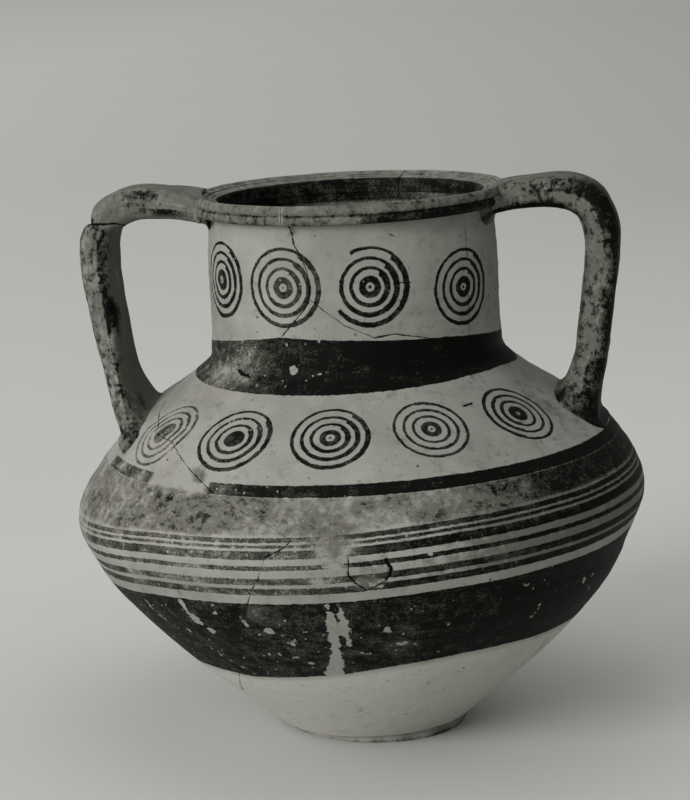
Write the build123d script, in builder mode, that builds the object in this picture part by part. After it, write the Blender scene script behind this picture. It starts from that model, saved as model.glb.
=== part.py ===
from build123d import *
from math import cos, radians, sin
import os

# Two-handled painted clay jar, broken and mended, in millimetres.
# The origin is the centre of the foot on the table, +Z is up, the handles lie along X and
# the decorated front faces -Y. The jar leans a little towards -X, so its thrown sections
# are turned about a leaned axis, while the underside of the foot stays level.
lean_angle = 2.75

# heights along the leaned axis, and radii of the outer surface
foot_height = 4.5
foot_radius = 51.0
belly_height = 123.0
belly_radius = 153.6
body_joint_rise = 10.0
shoulder_height = 203.0
neck_foot_radius = 78.0
neck_waist_inset = 1.2
neck_taper = 3.0
neck_height = 76.5
lip_depth = 10.5
lip_overhang = 7.9

# clay thicknesses and the rounding of edges
wall_thickness = 6.5
neck_thickness = 6.0
floor_thickness = 9.0
floor_inset = 13.0
foot_overhang = 3.0
foot_edge_rounding = 0.8
neck_corner_rounding = 6.0

# profile of the lip: overhang, crest bevel, dished top with shallow wheel grooves
lip_underside_rise = 1.1
lip_bulge = 0.6
crest_bevel = 2.0
crest_drop = 1.3
dish_drop = 2.8
mouth_flare = 0.6
mouth_rounding = 1.8
groove_depth = 0.5

# strap handles: thickness and width, how far the middle line of each arm lies below the
# rim, how far the shanks stay inside the belly's radius, and the roots below the shoulder
strap_thickness = 17.8
strap_width = 32.0
strap_corner_rounding = 6.5
left_arm_drop = 2.7
right_arm_drop = 4.5
shank_inset = 21.4
root_drop = 38.0

# how far each strap stands towards the front, at the lip and at the shoulder,
# how far its root is turned about the axis to sit square on the shoulder, and how far
# the root is drawn in towards the neck
left_strap_offsets = (13.0, 27.0)
right_strap_offsets = (0.0, 1.0)
left_root_turn = 13.0
right_root_turn = 0.0
left_root_inset = 4.0
right_root_inset = 1.0

# mended breaks: angles round the axis are counted from the front, positive to the right
rim_front_break = -17.0
rim_back_break = 165.0
handle_break_drop = 14.8
handle_break_slope = 14.0
neck_sherd_angles = (-15.0, 57.0)
belly_sherd_angle = 8.6
belly_sherd_depth = 3.0
belly_sherd_width = 22.0
belly_sherd_length = 18.5

# one overrun for every cutting body
overrun = 10.0

# shares of the way from foot to belly: radius, height
lower_wall_shares = [(0.185, 0.13), (0.475, 0.34), (0.716, 0.55), (0.888, 0.745), (0.957, 0.88)]
# shares of the way from belly to the foot of the neck: radius, height
shoulder_wall_shares = [(0.018, 0.12), (0.11, 0.29), (0.285, 0.49), (0.59, 0.71), (0.875, 0.89)]
# shares of the neck's height where it keeps its waist radius
neck_waist_shares = (0.25, 0.58)
# straps: share of the reach from rim to shank, share of the drop from arm to root,
# direction of the middle line, share of the strap's thickness, share of its width
strap_shares = [
    (-0.25, 0.035, 5.0, 0.76, 1.35),
    (0.04, 0.012, 4.0, 0.82, 1.20),
    (0.31, 0.002, 2.0, 0.87, 1.03),
    (0.51, -0.002, -4.0, 0.93, 1.00),
    (0.70, 0.012, -22.0, 1.01, 1.00),
    (0.866, 0.050, -44.0, 1.06, 1.00),
    (0.945, 0.101, -66.0, 1.08, 1.00),
    (1.00, 0.195, -87.0, 1.08, 1.00),
    (0.98, 0.335, -95.5, 1.03, 1.00),
    (0.90, 0.55, -99.0, 1.01, 1.00),
    (0.81, 0.735, -101.0, 1.08, 1.04),
    (0.72, 0.865, -104.0, 1.32, 1.35),
    (0.60, 1.04, -108.0, 1.85, 1.75),
]
# outlines of the two sherds: share of the width, share of the height, from one break to the other
neck_sherd_shares = [
    (0.0, 0.88), (0.075, 0.68), (0.085, 0.51), (0.26, 0.335), (0.42, 0.24),
    (0.53, 0.26), (0.72, 0.21), (1.0, 0.15),
]
belly_sherd_shares = [
    (-0.48, 0.50), (-0.52, 0.02), (-0.26, -0.30), (-0.02, -0.50),
    (0.40, -0.14), (0.52, 0.16), (0.42, 0.48),
]

# frames of the leaned jar: its profile plane, the level planes across it, and its axis
leaned_right = Vector(cos(radians(lean_angle)), 0, sin(radians(lean_angle)))
leaned_up = Vector(-sin(radians(lean_angle)), 0, cos(radians(lean_angle)))
profile_plane = Plane(origin=(0, 0, 0), x_dir=leaned_right, z_dir=(0, -1, 0))
cross_plane = Plane(origin=(0, 0, 0), x_dir=leaned_right, z_dir=leaned_up)
jar_axis = Axis((0, 0, 0), leaned_up)


# heights and radii that follow from the sizes above
body_joint_height = belly_height + body_joint_rise
lip_height = shoulder_height + neck_height
rim_height = lip_height + lip_depth
neck_waist_radius = neck_foot_radius - neck_waist_inset
neck_top_radius = neck_foot_radius - neck_taper
rim_radius = neck_top_radius + lip_overhang
crest_radius = rim_radius - crest_bevel
mouth_radius = neck_top_radius - neck_thickness + mouth_flare
floor_radius = foot_radius - floor_inset
left_arm_height = rim_height - left_arm_drop
right_arm_height = rim_height - right_arm_drop
shank_reach = belly_radius - shank_inset
root_height = shoulder_height - root_drop
handle_break_height = left_arm_height - handle_break_drop
belly_sherd_height = belly_height - belly_sherd_depth


def mix(start, end, share):
    """Value that lies the given share of the way from start to end."""
    return start + (end - start) * share


def inset(points, depth):
    """Inner points of a wall: each point but the two ends, moved square to the outline."""
    moved = []
    for before, point, after in zip(points, points[1:], points[2:]):
        along = (Vector(after) - Vector(before)).normalized()
        moved.append((point[0] - along.Y * depth, point[1] + along.X * depth))
    return moved


def facing(angle):
    """Plane through the axis that faces outwards at an angle counted from the front."""
    turned = cross_plane.rotated((0, 0, angle))
    return Plane(origin=(0, 0, 0), x_dir=turned.x_dir, z_dir=-turned.y_dir)


# outer outline of the body, and the inner one a wall's thickness inside it
foot_point = (foot_radius + foot_overhang, foot_height)
belly_point = (belly_radius, belly_height)
neck_foot_point = (neck_foot_radius, shoulder_height)
lower_points = [
    (mix(foot_point[0], belly_radius, out), mix(foot_height, belly_height, up))
    for out, up in lower_wall_shares
]
shoulder_points = [
    (mix(belly_radius, neck_foot_radius, inwards), mix(belly_height, shoulder_height, up))
    for inwards, up in shoulder_wall_shares
]
body_outline = [foot_point, *lower_points, belly_point, *shoulder_points, neck_foot_point]
body_lining = inset(body_outline, wall_thickness)
lining_floor = (floor_radius, foot_height + floor_thickness)
lining_neck = (neck_foot_radius - neck_thickness, shoulder_height - wall_thickness / 2)
neck_waist = [
    (neck_waist_radius, mix(shoulder_height, lip_height, share)) for share in neck_waist_shares
]
neck_lining = [(radius - neck_thickness, height) for radius, height in neck_waist]
neck_top = (neck_top_radius, lip_height)
lining_top = (neck_top_radius - neck_thickness, lip_height)

# outline of the lip, from its underside round the crest to the mouth
lip_lower = (rim_radius - lip_bulge, lip_height + lip_underside_rise)
lip_crest = (crest_radius, rim_height)
lip_shoulder = (rim_radius - lip_bulge, rim_height - crest_drop)
lip_groove = (rim_radius - lip_bulge, (lip_lower[1] + lip_shoulder[1]) / 2)
mouth_edge = (mouth_radius, rim_height - dish_drop - mouth_rounding)
mouth_top = (mouth_radius + mouth_rounding, rim_height - dish_drop)
dish_ridge = (mix(crest_radius, mouth_top[0], 0.5), mix(rim_height, mouth_top[1], 0.5))


def arc_middle(start, end, sag):
    """Point that an arc between two points passes through, raised by its sag."""
    return ((start[0] + end[0]) / 2, (start[1] + end[1]) / 2 + sag)


def outer_lip_lines():
    """Outer face of the lip: two soft rolls with a groove between, then the bevel to the crest."""
    Line(neck_top, lip_lower)
    ThreePointArc(lip_lower, (rim_radius, mix(lip_lower[1], lip_groove[1], 0.5)), lip_groove)
    ThreePointArc(lip_groove, (rim_radius, mix(lip_groove[1], lip_shoulder[1], 0.5)), lip_shoulder)
    Line(lip_shoulder, lip_crest)


def outer_wall_lines():
    """Outer face of the body and the neck, with the sharp inner corner where they meet."""
    Spline(*body_outline)
    Spline(neck_foot_point, *neck_waist, neck_top)


# section of the thrown wall from the floor to the lip
with BuildSketch(profile_plane) as wall_section:
    with BuildLine():
        Polyline((0, foot_height + floor_thickness), (0, foot_height), foot_point)
        outer_wall_lines()
        Line(neck_top, lining_top)
        Spline(lining_top, *reversed(neck_lining), lining_neck)
        Spline(lining_neck, *reversed(body_lining))
        Polyline(body_lining[0], lining_floor, (0, foot_height + floor_thickness))
    make_face()
    neck_corner = wall_section.vertices().sort_by_distance(
        profile_plane.from_local_coords((neck_foot_radius, shoulder_height, 0))
    )[0]
    fillet(neck_corner, neck_corner_rounding)

# section of the lip coil that sits on the neck
with BuildSketch(profile_plane) as lip_section:
    with BuildLine():
        outer_lip_lines()
        ThreePointArc(lip_crest, arc_middle(lip_crest, dish_ridge, -groove_depth), dish_ridge)
        ThreePointArc(dish_ridge, arc_middle(dish_ridge, mouth_top, -groove_depth), mouth_top)
        RadiusArc(mouth_top, mouth_edge, mouth_rounding)
        Line(mouth_edge, lining_top)
        Line(lining_top, neck_top)
    make_face()

# the whole outside as one filled body, which trims whatever is luted on to it
with BuildPart() as filled_jar:
    with BuildSketch(profile_plane):
        with BuildLine():
            Polyline((0, foot_height), foot_point)
            outer_wall_lines()
            outer_lip_lines()
            Polyline(
                lip_crest,
                (crest_radius, rim_height + overrun),
                (0, rim_height + overrun),
                (0, foot_height),
            )
        make_face()
    revolve(axis=jar_axis)


def thrown_ring(low, high):
    """Slice of the thrown wall between two heights, turned about the axis."""
    with BuildPart() as ring:
        with BuildSketch(profile_plane):
            add(wall_section.sketch_local)
            with Locations((belly_radius / 2, (low + high) / 2)):
                Rectangle(belly_radius + overrun, high - low, mode=Mode.INTERSECT)
        revolve(axis=jar_axis)
    return ring


def strap(side, offsets, arm_height, root_turn, root_inset):
    """Whole strap on one side, lofted along its middle line and trimmed to the jar's outside."""
    with BuildPart() as whole:
        for reach, drop, direction, thick, wide in strap_shares:
            turn = radians(direction)
            place = (
                leaned_right * side * (mix(rim_radius, shank_reach, reach) - root_inset * drop**2)
                + leaned_up * mix(arm_height, root_height, drop)
                + Vector(0, -mix(offsets[0], offsets[1], drop), 0)
            )
            along = leaned_right * side * cos(turn) + leaned_up * sin(turn)
            outwards = leaned_up * cos(turn) - leaned_right * side * sin(turn)
            twist = root_turn * drop**2
            along = along.rotate(jar_axis, twist)
            outwards = outwards.rotate(jar_axis, twist)
            with BuildSketch(Plane(origin=place, x_dir=outwards, z_dir=along)):
                RectangleRounded(
                    strap_thickness * thick, strap_width * wide, strap_corner_rounding * thick
                )
        loft()
        add(filled_jar.part, mode=Mode.SUBTRACT)
    return whole


def handle_break_plane():
    """Plane of the mended break across the left strap, just below its bend."""
    center = leaned_up * handle_break_height - leaned_right * shank_reach
    return Plane(
        origin=center,
        x_dir=leaned_right.rotate(Axis.Y, handle_break_slope),
        z_dir=leaned_up.rotate(Axis.Y, handle_break_slope),
    )


os.makedirs("parts", exist_ok=True)


def finish(piece, name):
    """Label a piece and write it."""
    piece.part.label = name
    export_step(piece.part, f"parts/{name}.step")


# low disc foot, level underneath, leaned on top where the bowl is luted on
with BuildPart() as foot:
    with BuildSketch(cross_plane.offset(foot_height)):
        Circle(foot_radius)
    extrude(amount=-foot_height - overrun)
    split(bisect_by=Plane.XY, keep=Keep.TOP)
    fillet(foot.faces().sort_by(Axis.Z)[0].edges(), foot_edge_rounding)
finish(foot, "foot")

# small sherd in the lower bowl, cut by its break outline
with BuildSketch(facing(belly_sherd_angle)) as belly_break:
    with BuildLine():
        Polyline(
            *[
                (belly_sherd_width * across, belly_sherd_height + belly_sherd_length * up)
                for across, up in belly_sherd_shares
            ],
            close=True,
        )
    make_face()

lower_body = thrown_ring(foot_height, body_joint_height)
with lower_body:
    extrude(belly_break.sketch, amount=belly_radius + overrun, mode=Mode.SUBTRACT)
finish(lower_body, "lower_body")

belly_sherd = thrown_ring(foot_height, body_joint_height)
with belly_sherd:
    extrude(belly_break.sketch, amount=belly_radius + overrun, mode=Mode.INTERSECT)
finish(belly_sherd, "belly_sherd")

shoulder = thrown_ring(body_joint_height, shoulder_height)
finish(shoulder, "shoulder")

# mended piece of the neck, from its lower break up to the lip
neck_sherd_middle = sum(neck_sherd_angles) / 2
neck_sherd_half = neck_waist_radius * sin(radians(neck_sherd_angles[1] - neck_sherd_middle))
with BuildSketch(facing(neck_sherd_middle)) as neck_break:
    with BuildLine():
        Polyline(
            (-neck_sherd_half, lip_height + overrun),
            *[
                (
                    mix(-neck_sherd_half, neck_sherd_half, across),
                    mix(shoulder_height, lip_height, up),
                )
                for across, up in neck_sherd_shares
            ],
            (neck_sherd_half, lip_height + overrun),
            close=True,
        )
    make_face()

neck = thrown_ring(shoulder_height, lip_height)
with neck:
    extrude(neck_break.sketch, amount=neck_foot_radius + overrun, mode=Mode.SUBTRACT)
finish(neck, "neck")

neck_sherd = thrown_ring(shoulder_height, lip_height)
with neck_sherd:
    extrude(neck_break.sketch, amount=neck_foot_radius + overrun, mode=Mode.INTERSECT)
finish(neck_sherd, "neck_sherd")

# lip coil, broken in two: the wedge covers the right-hand piece, well past the lip
wedge_steps = 4
wedge_radius = 2 * rim_radius
wedge_height = rim_height - lip_height + 2 * overrun
wedge_turns = [
    radians(mix(rim_front_break, rim_back_break, step / wedge_steps))
    for step in range(wedge_steps + 1)
]
with BuildSketch(cross_plane.offset(lip_height - overrun)) as rim_wedge:
    with BuildLine():
        Polyline(
            (0, 0),
            *[(wedge_radius * sin(turn), -wedge_radius * cos(turn)) for turn in wedge_turns],
            close=True,
        )
    make_face()

with BuildPart() as rim_right:
    revolve(lip_section.sketch, axis=jar_axis)
    extrude(rim_wedge.sketch, amount=wedge_height, mode=Mode.INTERSECT)
finish(rim_right, "rim_right")

with BuildPart() as rim_left:
    revolve(lip_section.sketch, axis=jar_axis)
    extrude(rim_wedge.sketch, amount=wedge_height, mode=Mode.SUBTRACT)
finish(rim_left, "rim_left")

# straps: the right one is whole, the left one is mended below its bend
right_handle = strap(1, right_strap_offsets, right_arm_height, right_root_turn, right_root_inset)
finish(right_handle, "right_handle")

left_strap = strap(-1, left_strap_offsets, left_arm_height, left_root_turn, left_root_inset)

with BuildPart() as left_handle_arm:
    add(left_strap.part)
    split(bisect_by=handle_break_plane(), keep=Keep.TOP)
finish(left_handle_arm, "left_handle_arm")

with BuildPart() as left_handle_shank:
    add(left_strap.part)
    split(bisect_by=handle_break_plane(), keep=Keep.BOTTOM)
finish(left_handle_shank, "left_handle_shank")
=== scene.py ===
import math
from functools import partial
import bpy
import numpy as np
from mathutils import Matrix


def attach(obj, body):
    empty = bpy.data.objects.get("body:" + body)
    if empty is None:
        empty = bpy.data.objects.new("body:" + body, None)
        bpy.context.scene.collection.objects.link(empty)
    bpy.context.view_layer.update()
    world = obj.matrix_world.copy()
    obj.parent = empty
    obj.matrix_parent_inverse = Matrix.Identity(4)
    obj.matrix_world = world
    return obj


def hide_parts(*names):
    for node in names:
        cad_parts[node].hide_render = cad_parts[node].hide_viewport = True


# Painted two-handled clay jar, broken and mended. Shapes are worked out in millimetres in the
# frame of the solids and go into the meshes in metres. Azimuth is in degrees from the front,
# positive to the right; heights run along the leaned axis of the wheel.
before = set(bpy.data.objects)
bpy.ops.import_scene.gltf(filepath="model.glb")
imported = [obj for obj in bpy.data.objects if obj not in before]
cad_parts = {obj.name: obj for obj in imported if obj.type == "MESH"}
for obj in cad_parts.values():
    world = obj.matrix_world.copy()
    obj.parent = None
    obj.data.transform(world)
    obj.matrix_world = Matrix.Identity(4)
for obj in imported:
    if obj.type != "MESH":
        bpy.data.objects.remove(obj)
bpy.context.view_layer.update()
print("frame loaded:", len(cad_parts), "clay solids")

jarForm = {
    "leanDegrees": 2.75,  # the axis leans this much towards -X
    "outerWall": [  # radius and height of the outside, from the foot's edge to the foot of the neck
        (54.0, 4.5), (72.2, 19.9), (100.8, 44.8), (124.5, 69.7), (141.5, 92.8), (148.3, 108.8),
        (152.5, 123.0), (151.2, 132.6), (144.3, 146.2), (131.3, 162.2), (108.5, 179.8), (87.3, 194.2),
        (78.0, 203.0)],
    "outerNeck": [(78.0, 203.0), (76.8, 222.1), (76.8, 247.4), (75.0, 279.5)],
    "cornerRounding": 6.0,
    "bodyThickness": 6.5,
    "neckThickness": 6.0,
    "floorHeight": 13.5,
    "footHeight": 4.5,
    "bodyJoint": 133.0,
    "neckJoint": 203.0,
    "lipJoint": 279.5,
    # how the clay sagged before it dried: height, sideways shift, extra radius, side-to-side tilt
    "slump": [
        (0, 0, 0, 0), (30, 0.67, -0.89, 0.0013), (55, 0.34, -1.35, -0.0049), (80, -0.84, -1.87, -0.0053),
        (100, -2.39, -1.54, 0.0024), (115, -2.52, -0.41, 0.0049), (130, -0.99, -0.58, 0.0020),
        (145, 0.69, -1.09, 0.0065), (160, 0.54, -0.65, 0.0147), (175, -1.64, 0.60, 0.0009),
        (190, -1.35, 0.56, 0.0039), (203, 0, 0, 0), (300, 0, 0, 0)],
    "columns": 720,
    "frontShare": 0.45,  # how far the columns crowd towards the painted front
    "wheelRidges": [(6.3, 4, 0.06), (11.7, 5, 0.08)],  # mm apart, sway, mm high
    "innerRidge": 0.3,
    "crackDepth": 0.3,
    "sharpAngle": 52,
}


def splineThrough(points, count):
    # natural cubic spline through the points, carried on the length of the chords between them
    p = np.asarray(points, float)
    t = np.concatenate([[0], np.cumsum(np.linalg.norm(np.diff(p, axis=0), axis=1))])
    n = len(p)
    h = np.diff(t)
    a = np.diag(np.concatenate([[1], 2 * (h[:-1] + h[1:]), [1]]))
    a[np.arange(1, n - 1), np.arange(0, n - 2)] = h[:-1]
    a[np.arange(1, n - 1), np.arange(2, n)] = h[1:]
    b = np.zeros_like(p)
    slope = np.diff(p, axis=0) / h[:, None]
    b[1:-1] = 6 * np.diff(slope, axis=0)
    m = np.linalg.solve(a, b)
    s = np.linspace(0, t[-1], count)
    k = np.clip(np.searchsorted(t, s, side="right") - 1, 0, n - 2)
    lo, hi, d = (t[k + 1] - s)[:, None], (s - t[k])[:, None], h[k][:, None]
    return (m[k] * lo ** 3 + m[k + 1] * hi ** 3) / (6 * d) + (p[k] / d - m[k] * d / 6) * lo + (
        p[k + 1] / d - m[k + 1] * d / 6) * hi


def roundedJoin(low, high, radius):
    # two outlines that meet in a corner, with a moving average that fades in near the corner
    line = np.concatenate([low[:-1], high])
    t = np.concatenate([[0], np.cumsum(np.linalg.norm(np.diff(line, axis=0), axis=1))])
    even = np.arange(0, t[-1], 0.25)
    line = np.stack([np.interp(even, t, line[:, 0]), np.interp(even, t, line[:, 1])], 1)
    corner = np.argmin(np.hypot(*(line - low[-1]).T))
    kernel = np.hanning(int(radius / 0.25) * 2 + 1)
    half = len(kernel) // 2
    padded = np.concatenate([np.repeat(line[:1], half, 0), line, np.repeat(line[-1:], half, 0)])
    eased = np.stack([np.convolve(padded[:, i], kernel / kernel.sum(), mode="valid") for i in (0, 1)], 1)
    near = np.exp(-((np.arange(len(line)) - corner) * 0.25 / (1.6 * radius)) ** 4)[:, None]
    return line * (1 - near) + eased * near


outerLine = roundedJoin(
    splineThrough(jarForm["outerWall"], 900), splineThrough(jarForm["outerNeck"], 400), jarForm["cornerRounding"])
lineSlope = np.gradient(outerLine, axis=0)
lean = math.radians(jarForm["leanDegrees"])
rightward = np.array([math.cos(lean), 0, math.sin(lean)])
upward = np.array([-math.sin(lean), 0, math.cos(lean)])
backward = np.array([0.0, 1.0, 0.0])
slumpTable = np.array(jarForm["slump"], float)


def radiusAt(height):
    # radius of the outer outline, read at the height
    return np.interp(height, outerLine[:, 1], outerLine[:, 0])


def normalAt(height):
    # outward direction of the outline: its slope turned by a quarter
    out = np.interp(height, outerLine[:, 1], lineSlope[:, 1])
    up = np.interp(height, outerLine[:, 1], -lineSlope[:, 0])
    size = np.hypot(out, up)
    return out / size, up / size


def place(azimuth, radius, height):
    # point on the leaned wheel: radius and azimuth across the axis, height along it, moved by the sag
    a = np.radians(azimuth)
    shift, widen, tilt = (np.interp(height, slumpTable[:, 0], slumpTable[:, i]) for i in (1, 2, 3))
    r = radius + widen * np.clip(radius / 50, 0, 1)
    u, v = r * np.sin(a), -r * np.cos(a)
    return (u + shift)[..., None] * rightward + v[..., None] * backward + (height + tilt * u)[..., None] * upward


def fromFront(azimuth):
    # the same direction counted from the front, -180 to 180
    return (azimuth + 180) % 360 - 180


def offWall(azimuth, height, rise=0):
    # point on the outside, or off it along the outline's normal by a rise in mm
    out, up = normalAt(height)
    return place(azimuth, radiusAt(height) + out * rise, height + up * rise)


noiseTable = np.random.default_rng(11).random((32, 32, 32))


def lumps(points, size, seed=0):
    # value noise: random numbers on a cubic lattice of the size in mm, eased between the eight corners, -1 to 1
    q = np.asarray(points) / size + seed * 5.37
    i = np.floor(q).astype(int)
    f = q - i
    f = f * f * (3 - 2 * f)
    total = 0
    for corner in range(8):
        step = np.array([corner & 1, corner >> 1 & 1, corner >> 2 & 1])
        weight = np.where(step, f, 1 - f).prod(-1)
        total = total + weight * noiseTable[tuple(np.moveaxis((i + step) % 32, -1, 0))]
    return total * 2 - 1


def smoothStep(low, high, value):
    # 0 at low, 1 at high and beyond it, eased between
    t = np.clip((value - low) / (high - low), 0, 1)
    return t * t * (3 - 2 * t)


def putMesh(name, points, faces, fields, nodes, slotName):
    # mm points to a mesh in metres, turned outwards by the sign of its volume, with its fields and finish
    faces = [np.asarray(f) for f in faces if len(f)]
    volume = sum(np.einsum("ij,ij->", points[f[:, 0]], np.cross(points[f[:, i]], points[f[:, i + 1]]))
                 for f in faces for i in range(1, f.shape[1] - 1))
    faces = [f[:, ::-1] if volume < 0 else f for f in faces]
    mesh = bpy.data.meshes.new(name)
    mesh.vertices.add(len(points))
    mesh.vertices.foreach_set("co", (points / 1000).astype(np.float32).ravel())
    loops = np.concatenate([f.ravel() for f in faces])
    sizes = np.concatenate([np.full(len(f), f.shape[1]) for f in faces])
    mesh.loops.add(len(loops))
    mesh.loops.foreach_set("vertex_index", loops.astype(np.int32))
    mesh.polygons.add(len(sizes))
    mesh.polygons.foreach_set("loop_start", (np.cumsum(sizes) - sizes).astype(np.int32))
    mesh.update(calc_edges=True)
    mesh.validate()
    mesh.shade_smooth()
    mesh.set_sharp_from_angle(angle=math.radians(jarForm["sharpAngle"]))
    for field, values in fields.items():
        layer = mesh.attributes.new(field, "FLOAT", "POINT")
        layer.data.foreach_set("value", np.asarray(values, np.float32).ravel())
    mesh.materials.append(finishes[slotName])
    piece = bpy.data.objects.new(name, mesh)
    bpy.context.scene.collection.objects.link(piece)
    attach(piece, "root")
    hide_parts(*nodes)
    print("made", name, len(points), "points")


def quadsOf(index):
    # the four corners of every cell of a grid of point numbers
    return np.stack([index[:-1, :-1], index[:-1, 1:], index[1:, 1:], index[1:, :-1]], -1).reshape(-1, 4)


def gridPiece(name, grid, fields, nodes, slotName, roundRows=False, roundColumns=True):
    # rows x columns of points joined by quads; a round direction closes on itself, and the first and last row, or
    # the open sides of a closed section, get a fan from their middle
    rows, columns = grid.shape[:2]
    index = np.arange(rows * columns).reshape(rows, columns)
    across = np.concatenate([index, index[:, :1]], 1) if roundColumns else index
    down = np.concatenate([across, across[:1]], 0) if roundRows else across
    points, extra, fans = grid.reshape(-1, 3), [], []
    flat = {k: np.broadcast_to(v, (rows, columns)).reshape(-1) for k, v in fields.items()}
    edges = [] if roundRows else [(across[0], 1), (across[-1], -1)]
    if not roundColumns:
        edges = [(down[:, 0], -1), (down[:, -1], 1)]
    for edge, turn in edges:
        middle = len(points) + len(extra)
        extra.append(edge)
        fan = np.stack([np.full(len(edge) - 1, middle), edge[1:], edge[:-1]], -1)
        fans.append(fan[:, ::turn])
    if extra:
        flat = {k: np.concatenate([v] + [[v[e].mean()] for e in extra]) for k, v in flat.items()}
        points = np.concatenate([points] + [points[e[:-1]].mean(0)[None] for e in extra])
    putMesh(name, points, [quadsOf(down)] + fans, flat, nodes, slotName)


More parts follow.
